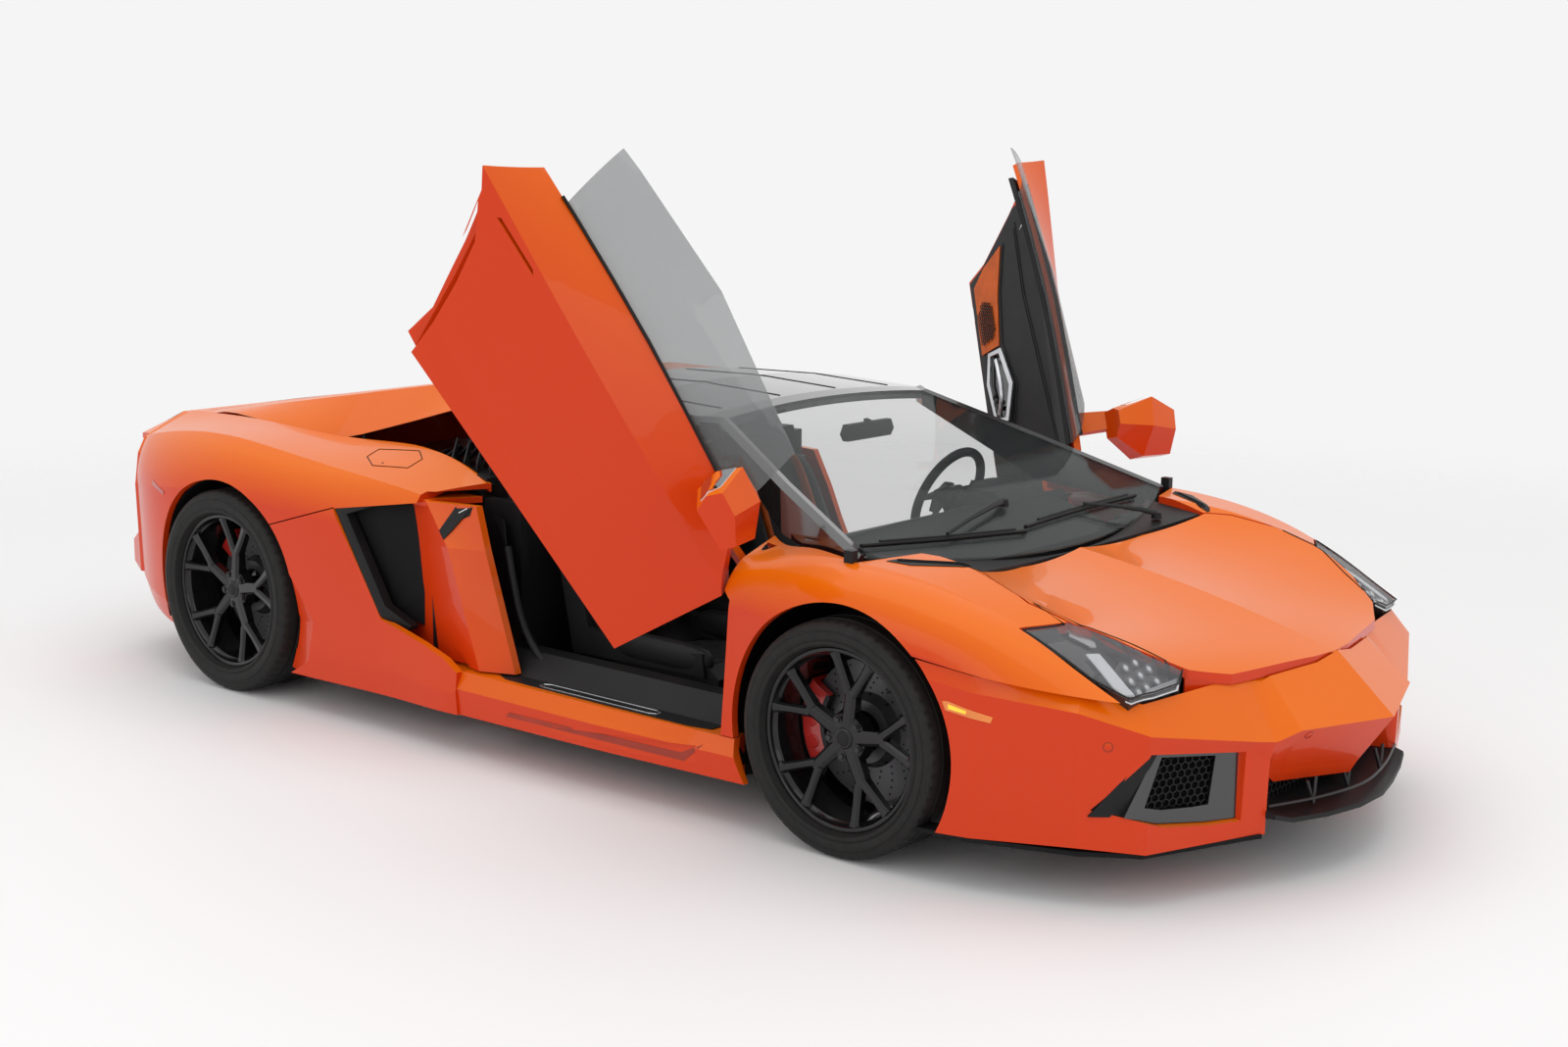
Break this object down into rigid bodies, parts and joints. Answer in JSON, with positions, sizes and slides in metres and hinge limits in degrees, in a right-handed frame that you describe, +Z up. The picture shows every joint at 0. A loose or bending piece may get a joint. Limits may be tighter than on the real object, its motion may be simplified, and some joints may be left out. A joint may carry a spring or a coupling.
{
  "type": "two-seat mid-engined supercar",
  "caption": "Low wedge-shaped two-seat sports car with upward-swinging doors, lifting lids, steered front wheels and turning wheels.",
  "frame": {"origin": "middle of the bounding box at ground level", "axes": "+Z up, the car faces -Y, its left (driver's) side is +X"},
  "size_m": [2.796, 4.78, 1.8924],
  "materials": {
    "paint": "gloss orange lacquer",
    "black_paint": "gloss black",
    "black_plastic": "satin black",
    "glass": "clear",
    "tyre": "matte",
    "rim": "gloss black",
    "leather": "soft grain",
    "aluminium": "cast",
    "lamp": "clear",
    "red_lamp": "clear red",
    "composite": "satin moulded composite"
  },
  "bodies": {
    "body": {"cabin_mirror": "black_plastic", "centre_tunnel": "black_plastic", "cowl": "black_plastic", "dashboard": "black_plastic", "diffuser": "black_plastic", "engine": "aluminium", "exhaust": "aluminium", "front_bumper": "paint", "front_grilles": "black_plastic", "front_wings": "paint", "headlamp_lenses": "lamp", "rear_deck": "black_plastic", "rear_window": "glass", "rear_wings": "paint", "roll_hoop": "black_paint", "roof_panels": "black_paint", "seats": "leather", "side_intakes": "black_plastic", "side_skirts": "paint", "suspension": "aluminium", "tail_lamps": "red_lamp", "tail_panel": "paint", "tub": "composite", "windscreen": "glass", "windscreen_frame": "black_paint"},
    "bonnet": {"bonnet": "paint"},
    "engine_cover": {"engine_cover": "paint"},
    "steering_wheel": {"steering_wheel": "leather"},
    "door_left": {"door_shell_left": "paint", "door_lining_left": "leather", "door_glass_left": "glass", "door_mirror_left": "paint"},
    "knuckle_left": {"knuckle_front_left": "aluminium"},
    "wheel_front_left": {"tyre_front_left": "tyre", "rim_front_left": "rim"},
    "wheel_rear_left": {"tyre_rear_left": "tyre", "rim_rear_left": "rim"},
    "door_right": {"door_shell_right": "paint", "door_lining_right": "leather", "door_glass_right": "glass", "door_mirror_right": "paint"},
    "knuckle_right": {"knuckle_front_right": "aluminium"},
    "wheel_front_right": {"tyre_front_right": "tyre", "rim_front_right": "rim"},
    "wheel_rear_right": {"tyre_rear_right": "tyre", "rim_rear_right": "rim"}
  },
  "joints": [
    {"name": "bonnet_hinge", "type": "hinge", "parent": "body", "child": "bonnet", "pos_m": [0, -1.384, 0.79], "axis": [-1, 0, 0], "range_deg": [0, 50]},
    {"name": "engine_cover_hinge", "type": "hinge", "parent": "body", "child": "engine_cover", "pos_m": [0, 0.408, 1.112], "axis": [1, 0, 0], "range_deg": [0, 42]},
    {"name": "door_left_hinge", "type": "hinge", "parent": "body", "child": "door_left", "pos_m": [0.85, -0.829, 0.721], "axis": [0.9164, 0, -0.4003], "range_deg": [-64.45, 0]},
    {"name": "door_right_hinge", "type": "hinge", "parent": "body", "child": "door_right", "pos_m": [-0.85, -0.829, 0.721], "axis": [0.9164, 0, 0.4003], "range_deg": [-64.45, 0]},
    {"name": "steer_left", "type": "hinge", "parent": "body", "child": "knuckle_left", "pos_m": [0.7435, -1.24, 0.3305], "axis": [0, 0, 1], "range_deg": [-30, 30]},
    {"name": "steer_right", "type": "hinge", "parent": "body", "child": "knuckle_right", "pos_m": [-0.7435, -1.24, 0.3305], "axis": [0, 0, 1], "range_deg": [-30, 30]},
    {"name": "steering_column", "type": "hinge", "parent": "body", "child": "steering_wheel", "pos_m": [0.375, -0.64, 0.765], "axis": [0, 0.9272, 0.3746], "range_deg": [-450, 450]},
    {"name": "spin_front_left", "type": "hinge", "parent": "knuckle_left", "child": "wheel_front_left", "pos_m": [0.845, -1.24, 0.3305], "axis": [1, 0, 0], "continuous": true},
    {"name": "spin_rear_left", "type": "hinge", "parent": "body", "child": "wheel_rear_left", "pos_m": [0.832, 1.46, 0.3555], "axis": [1, 0, 0], "continuous": true},
    {"name": "spin_front_right", "type": "hinge", "parent": "knuckle_right", "child": "wheel_front_right", "pos_m": [-0.845, -1.24, 0.3305], "axis": [1, 0, 0], "continuous": true},
    {"name": "spin_rear_right", "type": "hinge", "parent": "body", "child": "wheel_rear_right", "pos_m": [-0.832, 1.46, 0.3555], "axis": [1, 0, 0], "continuous": true}
  ],
  "couplings": [
    {"joint": "steer_right", "follows": "steer_left", "ratio": 1},
    {"joint": "steering_column", "follows": "steer_left", "ratio": 15}
  ]
}
